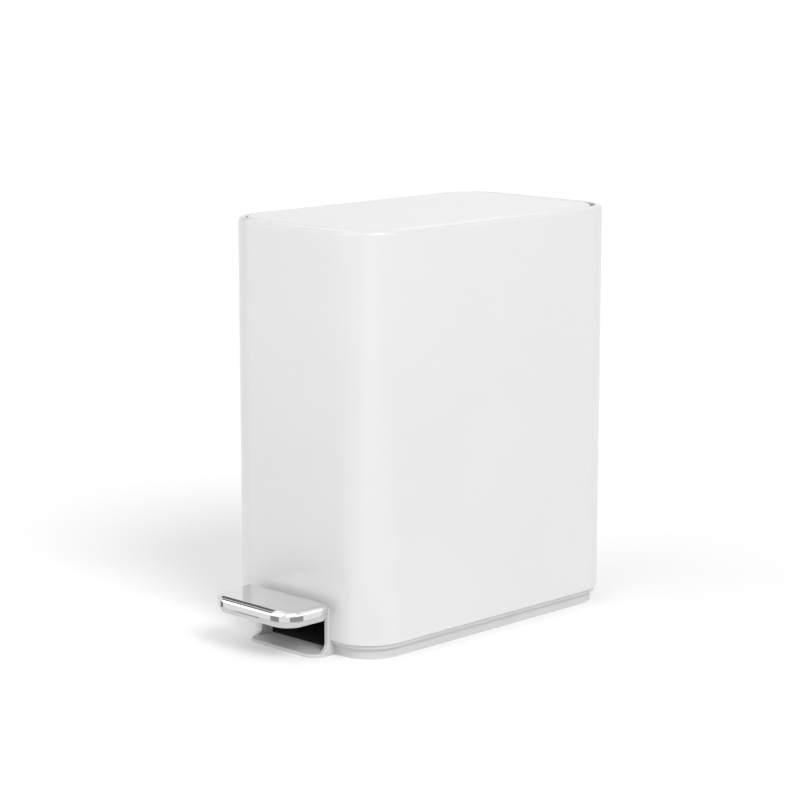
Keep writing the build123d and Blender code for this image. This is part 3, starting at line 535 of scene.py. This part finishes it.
class BIN_OT_finish_nodes(bpy.types.Operator):
    """Gives every CAD piece its finish and smooth curves, and rounds the edges of the pieces listed above"""

    bl_idname = "bin.finish_nodes"
    bl_label = "Finish CAD Pieces"

    def execute(self, context):
        slots = {row["node"]: row["material_slot"] for row in frame["record"]["subparts"]}
        for name, node in NODES.items():
            node.data.materials.clear()
            node.data.materials.append(slot_material(slots[name]))
            for polygon in node.data.polygons:
                polygon.use_smooth = True
            node.data.set_sharp_from_angle(angle=math.radians(SMOOTH_ANGLE))
        for name, width in ROUNDED.items():
            self.round_edges(NODES[name], width)
        return {"FINISHED"}

    def round_edges(self, node, width):
        """Joins the flat facets and rounds the edges between them."""
        weld = node.modifiers.new("weld", "WELD")
        weld.merge_threshold = 1e-6
        flats = node.modifiers.new("flats", "DECIMATE")
        flats.decimate_type = "DISSOLVE"
        flats.angle_limit = math.radians(0.5)
        edges = node.modifiers.new("edges", "BEVEL")
        edges.width = width
        edges.segments = 2
        edges.limit_method = "ANGLE"
        edges.angle_limit = math.radians(40)
        edges.harden_normals = True
        weigh_normals(node)


# Pieces


def body_plan(inset, stops=()):
    """The body's plan outline, drawn in by an inset."""
    corner = bpy.context.scene.bin_sizes.corner
    return outline(SHELL_HIGH.x, SHELL_LOW.y, -SHELL_LOW.y, corner, corner, inset, on_front=stops)


def jambs(count, column, last):
    """Cut edges of a sheet round an opening that starts at a column, up its two sides and along its head."""
    faces = []
    for side in (column, column + 1):
        faces.append(tuple(row * count + side for row in (0, 1, 2, last - 2, last - 1, last)))
    outer, inner = 2 * count + column, (last - 2) * count + column
    faces.append((outer, outer + 1, inner + 1, inner))
    return faces


class BIN_OT_body_wrap(bpy.types.Operator):
    """Builds the steel wrap with its rolled rim and the cut-out for the pedal"""

    bl_idname = "bin.body_wrap"
    bl_label = "Body Wrap"

    def execute(self, context):
        sizes = context.scene.bin_sizes
        low, top = SHELL_LOW.z, SHELL_HIGH.z
        stops = (-sizes.cutout_half, sizes.cutout_half)
        hem = 0.25 * MM
        inner_round = sizes.rim_round - sizes.steel
        lip_low = top - sizes.lip
        lip_inner = sizes.rim - sizes.steel
        curl = 0.9 * MM
        outer_rows = (60, 110, 160, 210, 260)
        inner_rows = (210, 110)
        outer = [(hem, low), (0.0, low + hem), (0.0, sizes.cutout_top)]
        outer += [(0.0, height * MM) for height in outer_rows]
        outer += arc_down((sizes.rim_round, top - sizes.rim_round), sizes.rim_round, 180, 90, 12)
        outer += arc_down((sizes.rim - curl, top - curl), curl, 90, 0, 6)
        outer += [(sizes.rim, lip_low + hem), (sizes.rim - hem, lip_low)]
        under = [(lip_inner + hem, lip_low), (lip_inner, lip_low + hem)]
        roof = top - sizes.steel
        under += [(lip_inner, roof - 0.1 * MM), (sizes.rim - 1.3 * sizes.steel, roof)]
        under += arc_down((sizes.rim_round, top - sizes.rim_round), inner_round, 90, 180, 8)
        under += [(sizes.steel, height * MM) for height in inner_rows]
        under += [(sizes.steel, sizes.cutout_top), (sizes.steel, low + hem), (sizes.steel - hem, low)]
        profile = outer + under
        rings = [[(x, y, z) for x, y in body_plan(inset, stops)] for inset, z in profile]
        count = len(rings[0])
        left = count - 2
        last = len(profile) - 1
        skip = {(row, left) for row in (0, 1, last - 2, last - 1, last)}
        vertices, faces = skin(rings, closed=True, skip=skip)
        faces += jambs(count, left, last)
        shell = mesh_object("steel_wrap", vertices, faces, "frame", "white_steel")
        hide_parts("body_shell")
        return {"FINISHED"}


class BIN_OT_lid_pan(bpy.types.Operator):
    """Builds the steel pan of the lid with its notch for the hinge"""

    bl_idname = "bin.lid_pan"
    bl_label = "Lid Pan"

    def execute(self, context):
        sizes = context.scene.bin_sizes
        low, top = LID_LOW.z, LID_HIGH.z
        notch = low + sizes.lid_notch_top
        stops = (-sizes.lid_notch_half, sizes.lid_notch_half)
        hem = 0.2 * MM
        steel = sizes.lid_steel
        profile = [(hem, low), (0.0, low + hem), (0.0, notch)]
        profile += arc_down((sizes.lid_round, top - sizes.lid_round), sizes.lid_round, 180, 90, 10)
        flat = len(profile)
        bend = 0.4 * MM
        profile += [(sizes.lid_round + bend, top)]
        inside = [(steel + bend, top - steel), (steel, top - steel - bend), (steel, notch)]
        inside += [(steel, low + hem), (steel - hem, low)]

        def plan(inset):
            corners = (sizes.lid_corner, sizes.lid_rear_corner)
            return outline(LID_HIGH.x, LID_LOW.y, LID_HIGH.y, *corners, inset, on_rear=stops)

        rings = [[(x, y, z) for x, y in plan(inset)] for inset, z in profile + inside]
        count = len(rings[0])
        right = next(i for i, (x, y) in enumerate(plan(0.0)) if abs(x - stops[1]) < 1e-9 and y > 0)
        last = len(rings) - 1
        skip = {(row, right) for row in (0, 1, last - 2, last - 1, last)}
        skip |= {(flat, column) for column in range(count)}
        vertices, faces = skin(rings, closed=True, skip=skip)
        faces.append(tuple(range(flat * count, (flat + 1) * count)))
        faces.append(tuple(reversed(range((flat + 1) * count, (flat + 2) * count))))
        faces += jambs(count, right, last)
        pan = mesh_object("lid_pan", vertices, faces, "lid", "white_steel")
        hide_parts("lid_skin")
        return {"FINISHED"}


# Share of the plate's inset, as far in as its wall, that the rear edge goes without
REAR_SHARE = 0.6


class BIN_OT_pedal_plate(bpy.types.Operator):
    """Builds the bright plated cap of the pedal"""

    bl_idname = "bin.pedal_plate"
    bl_label = "Pedal Plate"

    def execute(self, context):
        sizes = context.scene.bin_sizes
        low, top = CAP_LOW.z, CAP_HIGH.z
        wall, hem = sizes.pedal_wall, 0.3 * MM
        corners = (sizes.pedal_corner, sizes.pedal_rear_corner)
        profile = arc_down((hem, low + hem), hem, 270, 180, 4)
        edge = sizes.pedal_round
        margin = 0.2 * MM
        profile += [(0.0, low + hem + margin), (0.0, top - edge - margin)]
        profile += arc_down((edge, top - edge), edge, 180, 90, 24)
        top_row = len(profile) - 1
        profile += [(wall + margin, top - wall), (wall, top - wall - margin), (wall, low)]

        def plan(inset):
            rear = CAP_HIGH.y + REAR_SHARE * min(inset, wall)
            return outline(CAP_HIGH.x, CAP_LOW.y, rear, *corners, inset, steps=32)

        rings = [[(x, y, z) for x, y in plan(inset)] for inset, z in profile]
        count = len(rings[0])
        vertices, faces = skin(rings, closed=True, skip={(top_row, column) for column in range(count)})
        faces.append(tuple(range(top_row * count, (top_row + 1) * count)))
        faces.append(tuple(reversed(range((top_row + 1) * count, (top_row + 2) * count))))
        plate = mesh_object("pedal_plate", vertices, faces, "pedal", "bright_plate", sharp=50)
        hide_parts("pedal_cap")
        return {"FINISHED"}


def cut_away(piece, name, vertices, faces):
    """Cuts a closed mesh out of a piece and leaves nothing of the cutter behind."""
    mesh = bpy.data.meshes.new(name)
    mesh.from_pydata(vertices, [], faces)
    cutter = bpy.data.objects.new(name, mesh)
    bpy.context.scene.collection.objects.link(cutter)
    cut = piece.modifiers.new(name, "BOOLEAN")
    cut.object = cutter
    cut.operation = "DIFFERENCE"
    cut.solver = "EXACT"
    bpy.context.view_layer.update()
    result = bpy.data.meshes.new_from_object(piece.evaluated_get(bpy.context.evaluated_depsgraph_get()))
    piece.modifiers.clear()
    piece.data = result
    bpy.data.objects.remove(cutter)
    for polygon in result.polygons:
        polygon.use_smooth = True
    result.set_sharp_from_angle(angle=math.radians(PIECE_SHARP))
    weigh_normals(piece)


def block(low, high):
    """Corners and faces of a box between two corners."""
    corners = [(x, y, z) for z in (low[2], high[2]) for y in (low[1], high[1]) for x in (low[0], high[0])]
    faces = [(0, 2, 3, 1), (4, 5, 7, 6), (0, 1, 5, 4), (2, 6, 7, 3), (0, 4, 6, 2), (1, 3, 7, 5)]
    return corners, faces


SLIT_HEIGHT = 0.8 * MM
SLIT_DEPTH = 4.5 * MM


class BIN_OT_pedal_body(bpy.types.Operator):
    """Builds the grey under-body of the pedal with its rounded keel, seam slit and strap slot"""

    bl_idname = "bin.pedal_body"
    bl_label = "Pedal Under-Body"

    def execute(self, context):
        sizes = context.scene.bin_sizes
        low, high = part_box("pedal_base")
        step = CAP_HIGH.x - high.x
        seam = CAP_LOW.z
        keel = sizes.keel_round
        gap = 0.2 * MM
        plug = sizes.pedal_wall + gap
        foot = sizes.under_taper + step
        profile = arc_down((foot + keel, low.z + keel), keel, 270, 200, 10)
        profile += [(step + 0.3 * MM, seam - 0.5 * MM), (step, seam - gap), (step + gap, seam)]
        profile += [(plug, seam), (plug, high.z)]
        corners = (sizes.pedal_corner, sizes.pedal_rear_corner)

        def plan(inset):
            return outline(CAP_HIGH.x, CAP_LOW.y, CAP_HIGH.y, *corners, inset, steps=24)

        rings = [[(x, y, z) for x, y in plan(inset)] for inset, z in profile]
        count = len(rings[0])
        vertices, faces = skin(rings)
        faces.append(tuple(range(count)))
        faces.append(tuple(range((len(rings) - 1) * count, len(rings) * count)))
        body = mesh_object("pedal_under_body", vertices, faces, "pedal", "grey_plastic")
        slit = sizes.seam_slit
        front = CAP_LOW.y
        slit_low = (-slit, front - MM, seam - SLIT_HEIGHT)
        cut_away(body, "slit", *block(slit_low, (slit, front + SLIT_DEPTH, seam + MM)))
        strap_low, strap_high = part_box("pedal_lever")
        room = 0.25 * MM
        strap = (strap_low.x - room, strap_low.y - room, strap_high.z - sizes.strap - room)
        cut_away(body, "strap", *block(strap, (strap_high.x + room, CAP_HIGH.y + MM, strap_high.z + room)))
        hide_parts("pedal_base")
        return {"FINISHED"}


def turned(profile, steps):
    """Rings of (radius, height) points round the Z axis."""
    turns = [2 * math.pi * step / steps for step in range(steps)]
    circle = [(math.cos(turn), math.sin(turn)) for turn in turns]
    return [[(radius * x, radius * y, height) for x, y in circle] for radius, height in profile]


def capped(rings):
    """A closed skin whose first and last rings are filled."""
    vertices, faces = skin(rings)
    count = len(rings[0])
    faces.append(tuple(reversed(range(count))))
    faces.append(tuple(range(len(vertices) - count, len(vertices))))
    return vertices, faces


def placed(vertices, origin, direction):
    """Points turned from +Z to a direction and moved to their origin."""
    turn = Vector(direction).to_track_quat("Z", "Y")
    return [tuple(turn @ Vector(point) + Vector(origin)) for point in vertices]


def gathered(pieces):
    """One vertex and face list from several."""
    vertices, faces = [], []
    for points, sides in pieces:
        start = len(vertices)
        vertices += points
        faces += [tuple(start + corner for corner in side) for side in sides]
    return vertices, faces


def solids_of(name):
    """Lowest and highest corners of each separate solid in a CAD node."""
    work = bmesh.new()
    work.from_mesh(NODES[name].data)
    bmesh.ops.remove_doubles(work, verts=work.verts, dist=1e-6)
    waiting = set(work.verts)
    boxes = []
    while waiting:
        found, edge = set(), {waiting.pop()}
        while edge:
            found |= edge
            edge = {link.other_vert(vert) for vert in edge for link in vert.link_edges} - found
        waiting -= found
        corners = list(zip(*(vert.co for vert in found)))
        boxes.append((Vector(map(min, corners)), Vector(map(max, corners))))
    work.free()
    return sorted(boxes, key=lambda box: (round(box[0].x, 4), round(box[0].y, 4), round(box[0].z, 4)))


class BIN_OT_pedal_buffer(bpy.types.Operator):
    """Builds the white fluted buffer under the pedal's front"""

    bl_idname = "bin.pedal_buffer"
    bl_label = "Pedal Buffer"

    def execute(self, context):
        low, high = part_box("pedal_bumper")
        middle = (low + high) / 2
        radius = (high.x - low.x) / 2
        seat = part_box("pedal_base")[0].z
        stem = 2.0 * MM
        flutes, steps, flute_depth = 12, 96, 0.045
        rounding = 2.2 * MM
        profile = [(0.45 * radius, low.z)]
        profile += arc_down((radius - rounding, low.z + rounding), rounding, 285, 360, 8)
        waist = 0.86 * radius
        profile += [(radius, low.z + 3.6 * MM), (0.90 * radius, seat - 1.6 * MM), (waist, seat - 0.4 * MM)]
        profile += [(waist, seat), (stem, seat), (stem, high.z)]
        rings = []
        for reach, height in profile:
            depth = flute_depth if low.z + MM < height < seat else 0.0
            ring = []
            for step in range(steps):
                turn = 2 * math.pi * step / steps
                fluted = reach * (1 - depth * (0.5 + 0.5 * math.cos(flutes * turn)))
                across, along = fluted * math.cos(turn), fluted * math.sin(turn)
                ring.append((middle.x + across, middle.y + along, height))
            rings.append(ring)
        buffer = mesh_object("pedal_buffer", *capped(rings), "pedal", "white_rubber", sharp=50)
        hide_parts("pedal_bumper")
        return {"FINISHED"}


def cross_points(arm, half, cuts):
    """Points round a plus sign, with its straight sides cut into short lengths."""
    quarter = [(half, half), (half, arm), (-half, arm)]
    corners = []
    for turn in range(4):
        for x, y in quarter:
            for _ in range(turn):
                x, y = -y, x
            corners.append((x, y))
    points = []
    for index, (x0, y0) in enumerate(corners):
        x1, y1 = corners[(index + 1) % len(corners)]
        points += [(x0 + (x1 - x0) * cut / cuts, y0 + (y1 - y0) * cut / cuts) for cut in range(cuts)]
    return points


def cross_screw(head, height, shank, length):
    """A pan-head screw with a cross recess, standing head up with its seat at zero."""
    recess = cross_points(0.52 * head, 0.13 * head, 3)
    turns = [math.atan2(y, x) for x, y in recess]
    profile = [(0.6 * shank, -length), (shank, 0.4 * shank - length), (shank, 0), (head, 0)]
    profile += [(head, 0.35 * height)]
    profile += [(0.95 * head, 0.6 * height), (0.84 * head, 0.82 * height), (0.66 * head, height)]
    rings = [[(radius * math.cos(t), radius * math.sin(t), z) for t in turns] for radius, z in profile]
    rings.append([(x, y, height) for x, y in recess])
    rings.append([(0.8 * x, 0.8 * y, 0.3 * height) for x, y in recess])
    return capped(rings)


def domed_rivet(head, height, shank, length):
    """A domed rivet with its upset tail, standing head up with its seat at zero."""
    tail = 1.25 * shank
    profile = [(0.8 * tail, -length), (tail, 0.3 * MM - length), (tail, 0.8 * MM - length)]
    profile += [(shank, 0.9 * MM - length)]
    profile += [(shank, 0), (head, 0), (head, 0.2 * height)]
    for step in range(1, 6):
        turn = math.radians(90 * step / 6)
        profile.append((head * math.cos(turn), height * (0.2 + 0.8 * math.sin(turn))))
    profile.append((0.12 * head, height))
    return capped(turned(profile, 32))


class BIN_OT_fasteners(bpy.types.Operator):
    """Builds the cross-head screws and the domed rivets where the CAD ones stand"""

    bl_idname = "bin.fasteners"
    bl_label = "Screws and Rivets"

    def execute(self, context):
        sizes = context.scene.bin_sizes
        shank = sizes.screw_shank
        tall, flat = sizes.screw_head, sizes.pedal_screw_head
        self.fill("base_screws", "frame", (0, 0, -1), cross_screw, tall, shank)
        self.fill("cover_screws", "frame", (0, 1, 0), cross_screw, tall, shank)
        self.fill("lid_screws", "lid", (0, 0, -1), cross_screw, tall, shank)
        self.fill("pedal_screws", "pedal", (0, 0, -1), cross_screw, flat, shank)
        self.fill("hinge_rivets", "frame", (0, 1, 0), domed_rivet, sizes.rivet_head, sizes.rivet_shank)
        return {"FINISHED"}

    def fill(self, node, body, direction, maker, height, shank):
        """One piece with a fastener for each solid of a node, its head at the end the direction names."""
        axis = Vector(direction)
        parts = []
        for low, high in solids_of(node):
            middle, half = (low + high) / 2, (high - low) / 2
            reach = abs(half.dot(axis))
            head = half.x
            vertices, faces = maker(head, height, shank, 2 * reach - height)
            parts.append((placed(vertices, middle + axis * (reach - height), axis), faces))
        piece = mesh_object(node + "_fitted", *gathered(parts), body, "zinc_steel", sharp=40)
        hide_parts(node)


class BIN_OT_feet(bpy.types.Operator):
    """Builds the ridged rubber feet"""

    bl_idname = "bin.feet"
    bl_label = "Rubber Feet"

    def execute(self, context):
        parts = []
        for low, high in solids_of("rubber_feet"):
            middle, radius = (low + high) / 2, (high.x - low.x) / 2
            thick = high.z - low.z
            groove = 0.4 * thick
            profile = [(0.16 * radius, groove)]
            for inner, outer in ((0.22, 0.40), (0.52, 0.70), (0.82, 0.96)):
                profile += [(inner * radius, groove), ((inner + 0.03) * radius, 0), (outer * radius, 0)]
                profile.append(((outer + 0.03) * radius, groove))
            profile[-1] = (radius, 0.25 * thick)
            profile.append((radius, thick))
            vertices, faces = capped(turned(profile, 48))
            parts.append(([(x + middle.x, y + middle.y, z + low.z) for x, y, z in vertices], faces))
        feet = mesh_object("ridged_feet", *gathered(parts), "frame", "black_rubber")
        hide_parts("rubber_feet")
        return {"FINISHED"}


class BIN_OT_bail_handle(bpy.types.Operator):
    """Builds the ribbed grip of the bucket's bail"""

    bl_idname = "bin.bail_handle"
    bl_label = "Bail Grip"

    def execute(self, context):
        low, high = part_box("bail_grip")
        middle, half = (low + high) / 2, (high - low) / 2
        radius, reach = half.z, half.x
        ribs = 14
        rounding, groove = 1.6 * MM, 0.5 * MM
        bore = 1.55 * MM
        ends = []
        for step in range(7):
            turn = math.radians(15 * step)
            ends.append((radius - rounding + rounding * math.sin(turn), rounding * (1 - math.cos(turn))))
        profile = [(bore, -reach), (radius - rounding, -reach)]
        profile += [(r, x - reach) for r, x in ends]
        straight = reach - rounding - 3 * MM
        for step in range(8 * ribs + 1):
            phase = step / 8
            depth = groove * (0.5 - 0.5 * math.cos(2 * math.pi * phase)) ** 0.7
            profile.append((radius - depth, -straight + 2 * straight * phase / ribs))
        profile += [(r, reach - x) for r, x in reversed(ends)]
        profile += [(radius - rounding, reach), (bore, reach)]
        rings = turned(profile, 40)
        vertices, faces = skin(rings, closed=True)
        grip = mesh_object("ribbed_grip", placed(vertices, middle, (1, 0, 0)), faces, "bail", "black_plastic")
        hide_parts("bail_grip")
        return {"FINISHED"}


OPERATORS = (
    BIN_OT_stage,
    BIN_OT_finish_nodes,
    BIN_OT_body_wrap,
    BIN_OT_lid_pan,
    BIN_OT_pedal_plate,
    BIN_OT_pedal_body,
    BIN_OT_pedal_buffer,
    BIN_OT_fasteners,
    BIN_OT_feet,
    BIN_OT_bail_handle,
)


class BIN_PT_panel(bpy.types.Panel):
    """Sidebar panel that lists the sizes, colours and steps"""

    bl_idname = "BIN_PT_panel"
    bl_label = "Slim Pedal Bin"
    bl_space_type = "VIEW_3D"
    bl_region_type = "UI"
    bl_category = "Pedal Bin"

    def draw(self, context):
        for operator in OPERATORS:
            self.layout.operator(operator.bl_idname)
        for group in (context.scene.bin_sizes, context.scene.bin_finish):
            box = self.layout.box()
            for name in group.__annotations__:
                box.prop(group, name)


CLASSES = (BinSizes, BinFinish, *OPERATORS, BIN_PT_panel)


def register():
    for item in CLASSES:
        bpy.utils.register_class(item)
    bpy.types.Scene.bin_sizes = bpy.props.PointerProperty(type=BinSizes)
    bpy.types.Scene.bin_finish = bpy.props.PointerProperty(type=BinFinish)


def unregister():
    del bpy.types.Scene.bin_finish
    del bpy.types.Scene.bin_sizes
    for item in reversed(CLASSES):
        bpy.utils.unregister_class(item)


def main():
    register()
    for operator in OPERATORS:
        getattr(bpy.ops.bin, operator.bl_idname.split(".")[1])()


if __name__ == "__main__":
    main()
